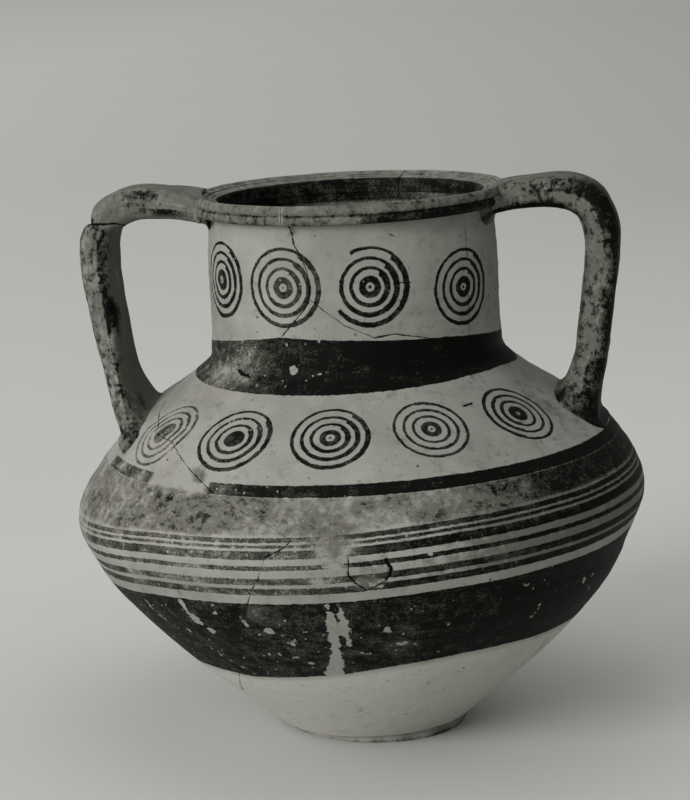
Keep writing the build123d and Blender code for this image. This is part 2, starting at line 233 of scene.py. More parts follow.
# lower edge of the mended neck sherd, from the lip down and round to the lip again: azimuth, height
neckBreak = [
    (-15.9, 279.9), (-14.8, 270.9), (-12, 265), (-9.1, 254.9), (-8.8, 242.3), (-5, 238.2), (4.1, 228.8),
    (15.1, 221.9), (22.8, 223.1), (37, 219), (57, 214.1), (57.3, 225), (57.6, 245), (57.8, 262),
    (58.2, 279.9)]
paintedFront = {
    # top and low edge of the painted band at the foot of the neck: azimuth, height
    "neckBandTop": [
        (-180, 217), (-120, 217), (-74, 213.8), (-22, 222.8), (-10, 222.2), (6, 221.2), (29, 219.4),
        (43, 218.5), (59, 216.4), (87, 212.6), (150, 217), (180, 217)],
    "neckBandLow": [
        (-90, 196), (-48, 194.8), (0, 195.4), (32, 196.6), (50, 197.7), (71, 197.7), (89, 195.9),
        (180, 196)],
    "shoulderLine": (155.2, 160.3),  # low and top edge
    # top edge of the lowest light line on the belly
    "lightLine": [
        (-180, 110), (-120, 100), (-90, 95.5), (-75, 97), (-60, 99.4), (-36, 105.6), (-25, 107), (-14, 108),
        (-4, 109), (7.5, 110.3), (15, 111.5), (25, 112.8), (36, 113.4), (47, 113.9), (57, 113.9), (70, 114.4),
        (84, 114.8), (120, 114), (180, 110)],
    # low edge of the wide dark band
    "bandLow": [
        (-180, 56), (-120, 46), (-60, 47.4), (-44.5, 50.5), (-34, 51.2), (-26, 51.5), (-16, 53.8), (-7, 56.1),
        (2, 58.5), (10, 61.5), (20, 64.4), (31, 66.2), (42, 66.7), (53, 65.8), (67, 65), (100, 62),
        (180, 56)],
    "thinStroke": 1.7,  # mm wide, where the brush ends a circle
    # compass-drawn circles: azimuth, height, size share, direction in degrees where the brush starts, extra
    # stroke in mm there, centre hole in mm, fade, and from where to where the outer circle is missing
    "neckRings": [
        (-54.1, 249.2, 0.95, 60, 1.3, 2.0, 0.06, 0, 0), (-19.6, 248.2, 0.98, 62, 1.5, 2.2, 0.18, 0, 0),
        (14.1, 247.9, 0.985, 52, 2.0, 2.3, 0.03, 118, 214), (54.6, 242.3, 0.95, 60, 1.2, 2.0, 0.0, 0, 0),
        (126, 246, 1.0, 55, 1.8, 2.2, 0.1, 100, 150), (162, 247, 1.0, 40, 1.5, 2.2, 0.1, 0, 0),
        (198, 247, 1.0, 50, 1.7, 2.2, 0.15, 0, 0), (234, 248, 1.0, 60, 1.3, 2.2, 0.1, 0, 0)],
    "shoulderRings": [
        (-50.4, 176.4, 0.9, 60, 0.9, 1.0, 0.34, 0, 0), (-51.1, 174.0, 0.9, 60, 0.6, 1.0, 0.4, 0, 0),
        (-25.2, 177.6, 0.98, 48, 1.3, -1.0, 0.12, 0, 0), (1, 179.0, 0.965, 55, 1.6, 2.3, 0.06, 0, 0),
        (27.6, 179.6, 0.93, 100, 0.5, 2.2, 0.14, 0, 0), (56, 179.3, 0.95, 240, 0.9, 1.4, 0.02, 0, 0),
        (124, 179, 1.0, 50, 1.3, 2.2, 0.1, 0, 0), (151, 179, 1.0, 60, 1.2, 2.2, 0.1, 0, 0),
        (180, 178, 1.0, 50, 1.5, 2.2, 0.2, 200, 240), (208, 178, 1.0, 40, 1.3, 2.2, 0.1, 0, 0),
        (235, 178, 1.0, 50, 1.3, 2.2, 0.15, 0, 0)],
    # mended breaks, one of them widened with painted shadow: half width in mm, then the line as azimuth and
    # height
    "cracks": [
        (0.26, [(-70.4, 183.5), (-66.2, 180.9), (-55.9, 176.2), (-54.5, 174), (-44.5, 172.8), (-33.6, 163.9),
                (-25.4, 156.2)]),
        (0.14, [(-25.4, 156.2), (-18, 149.5), (-9.3, 141.5), (-6, 137.3)]),
        (0.5, [(-6, 137.3), (-6.7, 133.7), (-10.3, 129.3)]),
        (0.3, [(-10.3, 129.3), (-11.5, 117.6), (-13.6, 110.4), (-17, 94), (-20, 79.1), (-30.4, 54.2),
               (-44.8, 33)]),
        (0.5, [(-16.8, 279.9), (-15.1, 275.4), (-14.6, 270.0)]),
        (0.2, [(-14.6, 270.0)] + neckBreak[2:8]),
        (0.42, [(15.1, 221.9), (22.8, 223.1), (29, 221.4), (37, 219)]),
        (0.1, neckBreak[9:]),
        (0.3, [(-8.8, 242.3), (-12, 236), (-20.7, 224.1)]),
        (0.45, [(5.2, 129.3), (5.4, 120.4), (7.0, 115.1), (8.9, 111.3)]),
        (0.3, [(8.9, 111.3), (11.2, 114.6), (12.4, 116.6)]),
        # wide dark line at the belly sherd's right edge: its crack, and painted shadow in the gap beside the
        # sunken sherd
        (1.2, [(12.4, 116.6), (12.9, 118.5), (13.15, 121), (12.9, 123.8), (12.2, 126.6)]),
        (0.5, [(41.2, 186.2), (44, 186.7)]), (0.8, [(-43, 203.3), (-39.5, 202.2), (-35.6, 201.5)]),
        (0.5, [(23.4, 273.2), (24, 272.8)]), (0.4, [(26.0, 248.9), (27.6, 248.4), (29.6, 248.6)]),
    ],
    # places where the paint came away, as outlines: azimuth, height
    "flakes": [
        [(0.5, 104.5), (1.4, 103.8), (1.8, 98.6), (2.4, 94.0), (2.6, 88.3), (2.2, 82.2), (1.4, 74.3),
         (1.7, 67.0), (0.9, 59.0), (-0.9, 54.3), (-2.7, 55.4), (-4.2, 57.7), (-2.4, 65.8), (-0.7, 72.6),
         (-0.2, 79.1), (-0.6, 85.3), (0.2, 90.3), (0.1, 95.0), (0.8, 99.6)],
        [(3.2, 104.4), (3.9, 102.1), (4.2, 98.4), (4.9, 93.8), (4.6, 88.1), (4.7, 82.1), (4.1, 77.2),
         (3.2, 79.0), (3.2, 84.2), (2.4, 87.2), (2.9, 94.9), (3.0, 100.4)],
    ],
    # radii in mm that turn azimuths into mm for them: bowl, outlines in it, ovals in it, neck
    "flakeRadii": (150, 145, 140, 78),
    "neckStart": 195,
    # the same as ovals: azimuth, height, half width, half height in mm, turn in degrees
    "chips": [
        (-43.6, 86, 0.9, 5, 20), (-31.3, 95.5, 2.0, 4.6, 10), (-30.2, 89.5, 3.2, 3.6, 30),
        (-23.6, 97.5, 0.8, 3, -14), (-27.7, 82.7, 2.2, 2.4, 30), (-12.7, 86.8, 2.2, 1.8, 0),
        (-15.2, 84.4, 1.8, 0.9, 30), (-8.4, 80, 2.4, 1.5, 20), (-16, 70, 1.1, 0.8, 0),
        (-32.6, 66.5, 0.5, 6.5, 45), (-27.9, 57.8, 0.6, 5, 50), (12.2, 87, 1.8, 1.5, 0),
        (15.2, 78.2, 3.4, 1.5, -15), (47.2, 85, 0.6, 3.4, -24), (42, 102.5, 0.5, 2.4, 60),
        (6.3, 73.3, 0.9, 0.8, 0), (7.9, 72.4, 1.0, 0.6, 0), (14.2, 71.3, 1.0, 0.7, 0),
        (24.8, 88.3, 0.8, 0.7, 0), (38, 66.9, 1.2, 0.7, 20), (-17.4, 91.5, 1.3, 3.6, 5),
        (-20.7, 56.8, 0.9, 0.9, 0), (-13.2, 71.5, 0.8, 1.2, 0), (-10, 69.5, 1.0, 0.6, 10),
        (-22, 74, 0.8, 1.4, 30), (-36, 78, 0.8, 2.6, 30), (-6.5, 66, 1.2, 0.7, 0), (33, 93, 0.6, 1.0, 0),
        (-19.1, 219.0, 0.9, 1.5, 0), (-16.4, 206.5, 1.7, 2.2, 20), (-6.1, 220.2, 0.8, 1.1, 0),
        (-7.2, 204.3, 2.0, 0.5, 10), (61, 93, 0.4, 4.5, 30), (65, 90, 0.4, 5.5, 24), (-60, 80, 1.4, 6, 30),
        (-15.7, 116.2, 0.7, 2.6, 10), (-28.7, 110.7, 0.7, 3, 20), (-30.4, 118, 0.8, 2.5, 30),
        (-17.3, 131.6, 0.5, 3, -30), (11, 113.2, 0.9, 5, 62), (-40, 112, 0.7, 2.6, 24),
        (2.8, 124.4, 1.6, 3.6, 80), (-0.6, 117.4, 1.6, 2.4, 70), (20, 128.6, 1.2, 1.2, 0)],
    # smears of thin paint on the slip, and a few places of painted shade: azimuth, height, half width,
    # half height in mm, share covered
    "smearsAndShade": [
        (7.6, 151, 5, 3, 0.5), (13.7, 152, 5, 2.6, 0.5), (21.5, 145.5, 7, 3.6, 0.5), (29.5, 145.7, 3, 3, 0.5),
        (36.5, 149, 10, 7, 0.5), (1, 137.5, 17, 5, 0.42), (-13, 149.8, 8, 4, 0.42), (-32, 142, 15, 9, 0.28),
        (-46.6, 132, 7, 7, 0.4), (-23.7, 146, 12, 7, 0.32), (-16, 154, 9, 2.4, 0.35), (-2.5, 145, 7, 5, 0.3),
        (9.5, 121, 8, 8, 0.34), (-37, 151, 10, 6, 0.3), (-60, 141, 16, 8, 0.25), (52, 196, 14, 4, 0.3),
        # at azimuth -15.2: a dark stain at the top of the crack, partly painted shade under the lip
        # at azimuth 70: partly a smear, partly painted shade on the right side, which is turned from the light
        # at azimuth 9: painted shade in the sunken lower part of the belly sherd
        (70, 178, 14, 14, 0.35), (2.5, 133, 6, 7, 0.6), (9, 115.5, 5, 3, 0.6), (-15.2, 277, 4, 2.6, 0.9),
        (-30.5, 162, 6, 3.4, 0.7)],
    # places where the brush bands are rubbed thin: azimuth, height, half width in degrees, half height in mm,
    # share
    "rubbed": [
        (-49, 201, 13, 6, 0.45), (-36, 212, 12, 7, 0.22), (2.5, 133, 4.5, 6, 0.4), (2.8, 124.5, 1.8, 4, 0.5),
        (0, 117.3, 2.2, 2, 0.4), (-13.8, 99, 2.8, 6, 0.24), (-25, 158, 6, 5, 0.25), (9.2, 116, 3, 4, 0.5),
        (14, 76, 4, 5, 0.18), (20, 122, 5, 4, 0.22), (-70, 120, 12, 20, 0.26), (36, 120, 9, 5, 0.16),
        (-49, 157.6, 3, 4, 0.3), (-60, 158.5, 2.2, 3, 0.35), (-26, 122, 3, 10, 0.22), (-42, 112, 3, 6, 0.3)],
}


def edgeHeight(name, azimuth):
    # height of a painted edge at an azimuth, the table read in a ring
    return np.interp(fromFront(azimuth), *np.array(paintedFront[name], float).T)


def bandHeight(azimuth, height):
    # height stretched so that each painted edge lies at one value all round, the one that the bands of the finish
    # name: knots per azimuth, linear between
    low, line = edgeHeight("bandLow", azimuth), edgeHeight("lightLine", azimuth)
    bottom, top = edgeHeight("neckBandLow", azimuth), edgeHeight("neckBandTop", azimuth)
    flat = np.zeros_like(low)
    lineLow, lineTop = paintedFront["shoulderLine"]
    real = [flat, low, line - 4.6, np.minimum(line + 30, lineLow - 0.5), flat + lineLow, flat + lineTop, bottom,
            top, flat + 290]
    even = [0, 60, 100.4, 135, lineLow, lineTop, 196.5, 219, 290]
    value = even[0] + 0 * height
    for i in range(len(real) - 1):
        value = value + (even[i + 1] - even[i]) * np.clip((height - real[i]) / (real[i + 1] - real[i]), 0, 1)
    return value


def toPolyline(points, line):
    # nearest distance to a polyline in space, with the side as its sign: each segment as a clamped projection
    best = np.full(points.shape[:-1], 1e3)
    side = np.full(points.shape[:-1], 1e3)
    out = points * np.array([1, 1, 0.0])
    for a, b in zip(line[:-1], line[1:]):
        t = np.clip(((points - a) @ (b - a)) / ((b - a) @ (b - a)), 0, 1)
        d = points - (a + t[..., None] * (b - a))
        size = np.linalg.norm(d, axis=-1)
        sign = np.sign(np.einsum("...i,...i->...", np.cross(b - a, d), out))
        closer = size < best
        best, side = np.where(closer, size, best), np.where(closer, size * sign, side)
    return best, side


def onWall(points):
    # azimuth and height pairs to points on the outside
    p = np.array(points, float)
    return offWall(p[:, 0], p[:, 1])


def ringFields(points):
    # distance to the nearest circle centre in mm, and that circle's stroke: thickest where the brush starts,
    # thinner as it goes round clockwise; its hole, its fade, and 1 where its outer line is missing
    best = np.full(points.shape[:-1], 1e3)
    made = {k: np.zeros(points.shape[:-1]) for k in ("ringWidth", "ringHole", "ringFade", "ringGap")}
    for turn, height, share, start, extra, hole, fade, gapFrom, gapTo in (
            paintedFront["neckRings"] + paintedFront["shoulderRings"]):
        centre = onWall([(turn, height)])[0]
        a = math.radians(turn)
        along = math.cos(a) * rightward + math.sin(a) * backward
        d = points - centre
        size = np.linalg.norm(d, axis=-1) / share
        # the rise over the wall's slope gives the angle as it lies on the clay
        angle = np.degrees(np.arctan2(d @ upward / max(normalAt(height)[0], 0.35), d @ along))
        gone = ((start - angle) % 360) / 360
        width = paintedFront["thinStroke"] + extra * (1 - gone) ** 1.4
        gap = (((angle - gapFrom) % 360) < (gapTo - gapFrom)) * 1.0
        closer = size < best
        best = np.where(closer, size, best)
        for k, v in (("ringWidth", width), ("ringHole", hole), ("ringFade", fade), ("ringGap", gap)):
            made[k] = np.where(closer, v, made[k])
    made["ringDistance"] = np.minimum(best, 60)
    return made


def flakeField(azimuth, height):
    # how far inside a flaked place, in mm, along the sloped wall: outlines by their nearest edge and crossing
    # count, ovals by their own metric
    bowl, outlined, oval, neck = paintedFront["flakeRadii"]
    start, slopeLength, ovalLength = paintedFront["neckStart"], 1.15, 1.1
    x = np.radians(azimuth) * np.where(height > start, neck, bowl)
    y = height * slopeLength
    best = np.full(azimuth.shape, -50.0)
    for outline in paintedFront["flakes"]:
        p = np.array(outline, float)
        px, py = np.radians(p[:, 0]) * outlined, p[:, 1] * slopeLength
        inside = np.zeros(azimuth.shape, bool)
        near = np.full(azimuth.shape, 50.0)
        for i in range(len(p)):
            ax, ay, bx, by = px[i - 1], py[i - 1], px[i], py[i]
            t = np.clip(((x - ax) * (bx - ax) + (y - ay) * (by - ay)) / ((bx - ax) ** 2 + (by - ay) ** 2), 0, 1)
            near = np.minimum(near, np.hypot(x - ax - t * (bx - ax), y - ay - t * (by - ay)))
            crosses = (ay > y) != (by > y)
            inside ^= crosses & (x < ax + (y - ay) * (bx - ax) / np.where(by == ay, 1e-9, by - ay))
        best = np.maximum(best, np.where(inside, near, -near))
    for turn, high, wide, tall, angle in paintedFront["chips"]:
        dx, dy = np.radians(azimuth - turn) * (neck if high > start else oval), (height - high) * ovalLength
        c, s = math.cos(math.radians(angle)), math.sin(math.radians(angle))
        m = np.hypot((dx * c + dy * s) / wide, (dy * c - dx * s) / tall)
        best = np.maximum(best, np.clip((1 - m) * min(wide, tall), -50, 9))
    return np.maximum(best, -9)


crackLines = [(width, onWall(line)) for width, line in paintedFront["cracks"]]


def clayRelief(points, height):
    # mm outwards: wheel ridges as slow sines that drift, smoothed over near the foot, uneven thickness, fine
    # lumps
    drift = lumps(points, 60, 3)
    ridges = sum(np.sin(height * 2 * math.pi / spacing + drift * sway) * tall
                 for spacing, sway, tall in jarForm["wheelRidges"])
    fine = lumps(points, 3.1, 8) * 0.06 + lumps(points, 7.5, 5) * 0.08
    return ridges * (0.25 + 0.75 * smoothStep(50, 110, height)) + lumps(points, 38, 1) * 0.28 + fine


def wallFields(azimuth, height, inner=False):
    # every field of the painted outside, or of the bare inside, at rows and columns of azimuth and height
    azimuth, height = np.broadcast_arrays(azimuth, height)
    points = offWall(azimuth, height)
    near, side, wide = np.full((3, *azimuth.shape), 50.0)
    for width, line in crackLines:
        apart, across = toPolyline(points, line)
        side, wide = np.where(apart < near, across, side), np.where(apart < near, width, wide)
        near = np.minimum(near, apart)
    turn = fromFront(azimuth)
    fields = ringFields(points)
    line = edgeHeight("lightLine", turn)
    lineFrom, lineTo = 154, 163  # heights that hold the shoulder line
    slow, quick = lumps(points, 24, 12), lumps(points, 9, 14)
    # paint left between the belly lines and the shoulder line, fuller to the right, over a thin wash
    turns = [-180, -110, -75, -40, -8, 5, 22, 34, 48, 100, 150, 180]
    left, thin, patchy = (np.interp(turn, turns, table) for table in (
        [0.6, 0.45, 0.12, 0.2, 0.12, 0.05, 0.12, 0.42, 0.88, 0.92, 0.8, 0.6],
        [0.65, 0.6, 0.45, 0.52, 0.5, 0.38, 0.46, 0.75, 1, 1, 0.7, 0.65],
        [0.3, 0.3, 0.32, 0.4, 0.34, 0.28, 0.32, 0.26, 0.12, 0.1, 0.2, 0.3]))
    # smears of thin paint, and a few places of painted shade, from the table
    smearsAndShade = 0
    for a, h, halfWidth, halfHeight, share in paintedFront["smearsAndShade"]:
        smearsAndShade = smearsAndShade + share * softOval((turn - a) * 2.5, height - h, halfWidth, halfHeight)
    zone = smoothStep(line + 29.8, line + 31.4, height) * smoothStep(156, 155, height)
    cover = zone * (left + 0.1 * slow) + 0.3 * smearsAndShade
    patchy = zone * patchy + 0.45 * np.minimum(smearsAndShade, 0.8)
    wash = zone * (thin + 0.1 * slow) + smearsAndShade
    # to the right the two thin gaps under it are nearly closed, and the wider ones are greyed
    toRight = smoothStep(7, 16, turn) * smoothStep(160, 130, turn) * smoothStep(line + 31, line + 30, height)
    cover = cover + toRight * smoothStep(line + 19.6, line + 20.6, height) * 0.34
    # the greying is partly thin paint and partly painted shade on the right, the side turned from the light
    wash = wash + toRight * smoothStep(line + 0.5, line + 2, height) * smoothStep(10, 40, turn) * 0.7
    # share of the brush bands that is worn away: belly lines, wide low band, shoulder line and neck band
    wear, low, high = (np.interp(turn, *table) for table in (
        ([-120, -75, -45, -20, -3, 12, 24, 60, 180], [0.1, 0.34, 0.3, 0.32, 0.32, 0.12, 0.04, -0.1, 0.1]),
        ([-120, -80, -50, -10, 10, 36, 60, 120, 180], [0.04, 0.15, 0.14, 0.17, 0.14, 0.04, -0.06, -0.05, 0.04]),
        ([-120, -75, -40, -30, -10, 60, 120, 180], [0.05, 0.32, 0.24, 0.18, 0.06, -0.1, -0.05, 0.05])))
    wear = np.where(height < line - 2, low, np.where(height > lineFrom, high, wear)) + 0.07 * slow + 0.05 * quick
    for a, h, halfTurn, halfHeight, share in paintedFront["rubbed"]:
        wear = wear + share * softOval(turn - a, height - h, halfTurn, halfHeight)
    # the shoulder line is gone in two places
    gone = smoothStep(-26, -29, turn) * smoothStep(-46, -43, turn) + smoothStep(-67, -69, turn) * smoothStep(
        -100, -96, turn)
    wear = wear + (height > lineFrom) * (height < lineTo) * gone
    if inner:
        # paint runs a little way down the mouth; the break behind goes on down the wall in a zigzag
        painted = np.interp(turn, [-180, -120, 100, 150, 180], [0.96, 1.02, 0.66, 0.7, 0.96])
        cover = smoothStep(273.4, 274.8, height + quick * 0.7) * (painted + 0.06 * slow)
        wash, patchy = 0.5 + 0.2 * quick, 0 * quick
        zigzag = 1.1 * np.sin(height * 1.1) + 0.5 * np.sin(height * 2.9)
        side = np.where(height > 262, (azimuth % 360 - rimForm["backBreak"] - zigzag) * 1.2, 50.0)
        near, wide = np.abs(side), 0 * side + 0.45
    fields.update(
        crackSide=np.clip(side, -20, 20), crackNear=np.clip(near, 0, 20), crackWide=np.clip(wide, 0, 2),
        bandHeight=bandHeight(turn, height), flake=flakeField(turn, height), cover=np.clip(cover, 0, 1),
        wash=np.clip(wash, 0, 1.2), patchy=patchy, wear=np.clip(wear, -0.3, 1),
        inside=np.full(azimuth.shape, float(inner)))
    return fields


def softOval(x, y, halfX, halfY):
    # 1 in the middle, fading out past its half sizes
    return np.exp(-(x / halfX) ** 2 - (y / halfY) ** 2)


def joinFields(parts):
    # the rows of several sets of fields, one under the other
    return {k: np.concatenate([p[k] for p in parts], 0) for k in parts[0]}


evenTurns = np.linspace(-0.5, 0.5, jarForm["columns"], endpoint=False)
azimuths = 360 * (evenTurns - jarForm["frontShare"] * np.sin(2 * math.pi * evenTurns) / (2 * math.pi))[None, :]


def wallRows(low, high, count):
    # heights evenly spaced along the outline, with one extra row close to each end
    keep = (outerLine[:, 1] >= low) & (outerLine[:, 1] <= high)
    line = outerLine[keep]
    t = np.concatenate([[0], np.cumsum(np.hypot(*np.diff(line, axis=0).T))])
    h = np.interp(np.linspace(0, t[-1], count), t, line[:, 1])
    h[0], h[-1] = low, high
    return np.concatenate([[h[0], h[0] + 0.1], h[1:-1], [h[-1] - 0.1, h[-1]]])[:, None]


def thicknessAt(height):
    # body wall below the neck's corner, thinner neck wall above
    return np.interp(height, [196, 206], [jarForm["bodyThickness"], jarForm["neckThickness"]])


def sunkenAtCracks(azimuth, height):
    # the mended breaks lie in a shallow groove
    points = offWall(azimuth, height)
    near = np.full(points.shape[:-1], 50.0)
    for width, line in crackLines:
        near = np.minimum(near, toPolyline(points, line)[0] / max(width, 0.12) * 0.4)
    return jarForm["crackDepth"] * np.exp(-(near / 0.9) ** 2)


def outerGrid(azimuth, height):
    # points of the outside: outline plus relief along its normal, less the crack grooves
    azimuth, height = np.broadcast_arrays(azimuth, height)
    relief = clayRelief(offWall(azimuth, height), height) - sunkenAtCracks(azimuth, height)
    return offWall(azimuth, height, relief)


def innerGrid(azimuth, height):
    # points of the inside: the outline moved in by the wall's thickness, with deeper wheel ridges
    azimuth, height = np.broadcast_arrays(azimuth, height)
    wave = np.sin(height * 0.8 + 0.4 * np.sin(np.radians(azimuth) * 2))
    return offWall(azimuth, height, -(thicknessAt(height) + jarForm["innerRidge"] * wave))


def hexColour(code):
    # sRGB hex to linear light
    c = np.array([int(code[i:i + 2], 16) / 255 for i in (1, 3, 5)])
    return (*np.where(c <= 0.04045, c / 12.92, ((c + 0.055) / 1.055) ** 2.4), 1)


def addNode(tree, kind, inputs=(), operation=None, output=0, **settings):
    # adds a shader node with its operation and settings, links or fills its inputs (a row of them, or a
    # dictionary by name or number), and hands back one output
    node = tree.nodes.new("ShaderNode" + kind)
    if operation:
        node.operation = operation
    for key, value in settings.items():
        setattr(node, key, value)
    for key, value in inputs.items() if isinstance(inputs, dict) else enumerate(inputs):
        if isinstance(value, bpy.types.NodeSocket):
            tree.links.new(value, node.inputs[key])
        else:
            node.inputs[key].default_value = value
    return node.outputs[output] if node.outputs else None


def newMaterial(name):
    # an empty node material, and the helper bound to its tree
    material = bpy.data.materials.new(name)
    material.use_nodes = True
    material.node_tree.nodes.clear()
    return material, partial(addNode, material.node_tree)


earthenware = {
    "colours": {
        # fired pale slip over sandy clay: soft grey, matt, cloudy from the kiln; the clay itself is paler
        "slipLight": "#9C9B94", "slipDark": "#86857E", "bareClay": "#BEBDB6", "innerClay": "#8B8A83",
        # straps and lip, darkened by hands
        "handledLight": "#8E8D86", "handledDark": "#706F68",
        # iron-bearing slip paint: near black where thick, brown-grey where the brush ran thin
        # they and the wash also paint some shade, in the foot's undercut and in a few places on the wall
        "paintThick": "#080806", "paintThin": "#5C5B53", "wash": "#5F5E57",
        # crack also colours the painted shadow in the gap beside the belly sherd
        "dirt": "#2B2A26", "crack": "#060605"},
    "ior": 1.5,
    "specular": 0.07,  # earthenware has hardly any sheen
    "slipRoughness": 0.75,
    "paintRoughness": 0.5,
    # sizes in mm of the noises: kiln clouds, mottling, sand, fine sand, brush edges, streaks; of knocks and pits
    "cloud": 32, "mottle": 7, "grain": 1.3, "sand": 0.6, "ragged": 3, "streak": 1.9, "knock": 3.4, "pit": 5.2,
    "bumpHeight": 0.00035,
    # painted bands on the stretched height: low edge, high edge, share covered
    "bands": [
        (60, 100.4, 1.08), (105.5, 109.3, 1.0), (111.3, 114.9, 0.98), (119.0, 121.4, 1.0), (124.4, 128.5, 1.0),
        (129.7, 131.2, 0.95), (132.2, 134.5, 0.95), (155.2, 160.3, 1.06), (196.5, 219, 1.08)],
    # outer radii of the compass circles and of the disc in their middle, in mm
    "circles": [10.7, 15.7, 20.9],
    "disc": 5.8,
}
tint = {k: hexColour(code) for k, code in earthenware["colours"].items()}
# what the points carry: stretched height, nearest circle, nearest crack, depth in a flake, shares of paint, wash,
# patchiness and wear, and whether inside; the values are those of a piece without bands, circles or breaks
# the shares of paint and wash also carry painted shade: in the foot's undercut and in a few places on the wall
bareFields = dict(
    bandHeight=0, ringDistance=60, ringWidth=0, ringHole=0, ringFade=0, ringGap=0, crackSide=20, crackNear=20,
    crackWide=0.4, flake=-9, cover=0, wash=0, patchy=0, wear=0, inside=0)


def slipPaintedEarthenware(name, light, dark, islandSize, islandRise, bands=True):
    # hand-thrown earthenware under matt slip, painted with iron slip: cloudy ground, brush edges, streaks that
    # follow the wheel, wear that turns the paint grey and speckled, dark mended cracks
    material, add = newMaterial(name)
    spot = add("TexCoord", output=3)
    field = {k: add("Attribute", output=2, attribute_name=k) for k in bareFields}
    flat = add("VectorMath", [spot, (0.06, 0.06, 1.0)], "MULTIPLY")
    drawnOut = add("Mapping", {"Vector": spot, "Scale": (1.0, 1.0, islandRise)})
    cloud, mottle, grain, sand, ragged, streak, island = (
        add("TexNoise", {"Vector": vector, "Scale": 1000 / size, "Detail": detail, "Roughness": rough})
        for vector, size, detail, rough in (
            (spot, earthenware["cloud"], 4, 0.55), (spot, earthenware["mottle"], 5, 0.65),
            (spot, earthenware["grain"], 2, 0.6), (spot, earthenware["sand"], 1, 0.5),
            (spot, earthenware["ragged"], 2, 0.5), (flat, earthenware["streak"], 4, 0.65),
            (drawnOut, islandSize, 5, 0.68)))
    shake = add("Math", [ragged, 0.5], "SUBTRACT")

    # islands of old paint where the field allows them
    isles = add("MapRange", [island, 0.48, 0.6])
    coverage = add("Math", [isles, field["patchy"], field["cover"]], "MULTIPLY_ADD")
    if bands:
        # brush bands, each full between its edges on the stretched height
        edged = add("Math", [shake, 0.8, field["bandHeight"]], "MULTIPLY_ADD")
        brushed = 0.0
        for low, high, share in earthenware["bands"]:
            off = add("Math", [edged, (low + high) / 2], "SUBTRACT")
            off = add("Math", [off], "ABSOLUTE")
            half = (high - low) / 2
            band = add("MapRange", [off, half - 0.15, half + 0.3, share, 0.0])
            brushed = add("Math", [band, brushed], "MAXIMUM")
        brushed = add("Math", [brushed, field["wear"]], "SUBTRACT")
        # compass circles: outside one radius and inside another, the outer one with its gap
        reach = add("Math", [shake, 1.0, field["ringDistance"]], "MULTIPLY_ADD")
        strokes = add("MapRange", [reach, 0.7, 1.1, 1.0, 0.0])
        for outer in earthenware["circles"] + [earthenware["disc"]]:
            inner = field["ringHole"]
            if outer != earthenware["disc"]:
                inner = add("Math", [outer, field["ringWidth"]], "SUBTRACT")
            after = add("Math", [reach, inner], "SUBTRACT")
            after = add("MapRange", [after, -0.25, 0.25])
            stroke = add("MapRange", [reach, outer - 0.25, outer + 0.25, after, 0.0])
            if outer == earthenware["circles"][-1]:
                there = add("Math", [1.0, field["ringGap"]], "SUBTRACT")
                stroke = add("Math", [stroke, there], "MULTIPLY")
            strokes = add("Math", [stroke, strokes], "MAXIMUM")
        fresh = add("Math", [1.0, field["ringFade"]], "SUBTRACT")
        strokes = add("Math", [strokes, fresh], "MULTIPLY")
        drawn = coverage
        for share in (brushed, strokes):
            drawn = add("Math", [share, drawn], "MAXIMUM")
        coverage = add("Mix", {0: field["inside"], 2: drawn, 3: coverage})

    # small knocks of about 1 mm, more of them where the surface is worn
    knock = add("TexVoronoi", {"Vector": spot, "Scale": 1000 / earthenware["knock"]})
    chance = add("SeparateColor", [knock.node.outputs[1]], output=1)
    rubbed = add("Math", [field["wear"], 0.2], "MINIMUM")
    chance = add("Math", [rubbed, 2.0, chance], "MULTIPLY_ADD")
    size = add("MapRange", [chance, 0.66, 1.3, -0.03, 0.2])
    knock = add("Math", [shake, 0.2, knock], "MULTIPLY_ADD")
    knock = add("Math", [knock, size], "SUBTRACT")
    knock = add("MapRange", [knock, -0.01, 0.04, 0.15, 1.0])
    # flaked places, their edge shaken
    edge = field["flake"]
    for noise in (mottle, shake):
        edge = add("Math", [noise, 5.0, edge], "MULTIPLY_ADD")
    kept = add("MapRange", [edge, 2.5, 2.8, knock, 0.0])
    # the paint holds where its share beats mottling, sand and wheel streaks together (their sum is about 1.35)
    uneven = mottle
    for noise, share in ((grain, 0.7), (streak, 0.5), (sand, 0.5)):
        uneven = add("Math", [noise, share, uneven], "MULTIPLY_ADD")
    holds = add("Math", [uneven, coverage], "ADD")
    holds = add("MapRange", [holds, 1.68, 2.02, 0.0, kept])

    # thin wash in patches, bare spots in it where the field is patchy
    # in a few places on the wall the wash is painted shade
    washed = add("Math", [coverage, 0.75], "MULTIPLY")
    spared = add("MapRange", [island, 0.36, 0.47, -0.7, 0.0])
    spared = add("Math", [spared, field["patchy"], field["wash"]], "MULTIPLY_ADD")
    washed = add("Math", [washed, spared], "MAXIMUM")
    for noise, share in ((mottle, 1.3), (ragged, 0.7)):
        washed = add("Math", [noise, share, washed], "MULTIPLY_ADD")
    washed = add("MapRange", [washed, 1.15, 1.6, 0.0, 0.85])
    washed = add("Math", [washed, kept], "MULTIPLY")
    # bare clay by the foot, soil in the mottling, less of it there, and dark pits
    bare = add("MapRange", [field["bandHeight"], 56.0, 61.0, 0.85 if bands else 0.0, 0.0])
    clean = add("MapRange", [bare, 0.0, 1.0, 0.4, 0.1])
    soiled = add("MapRange", [uneven, 1.35, 1.8, 0.0, clean])
    pit = add("TexVoronoi", {"Vector": spot, "Scale": 1000 / earthenware["pit"]})
    chance = add("SeparateColor", [pit.node.outputs[1]])
    size = add("MapRange", [chance, 0.76, 1.0, 0.0, 0.18])
    pit = add("Math", [size, pit], "SUBTRACT")
    pit = add("MapRange", [pit, 0.0, 0.04, 0.0, 0.75])
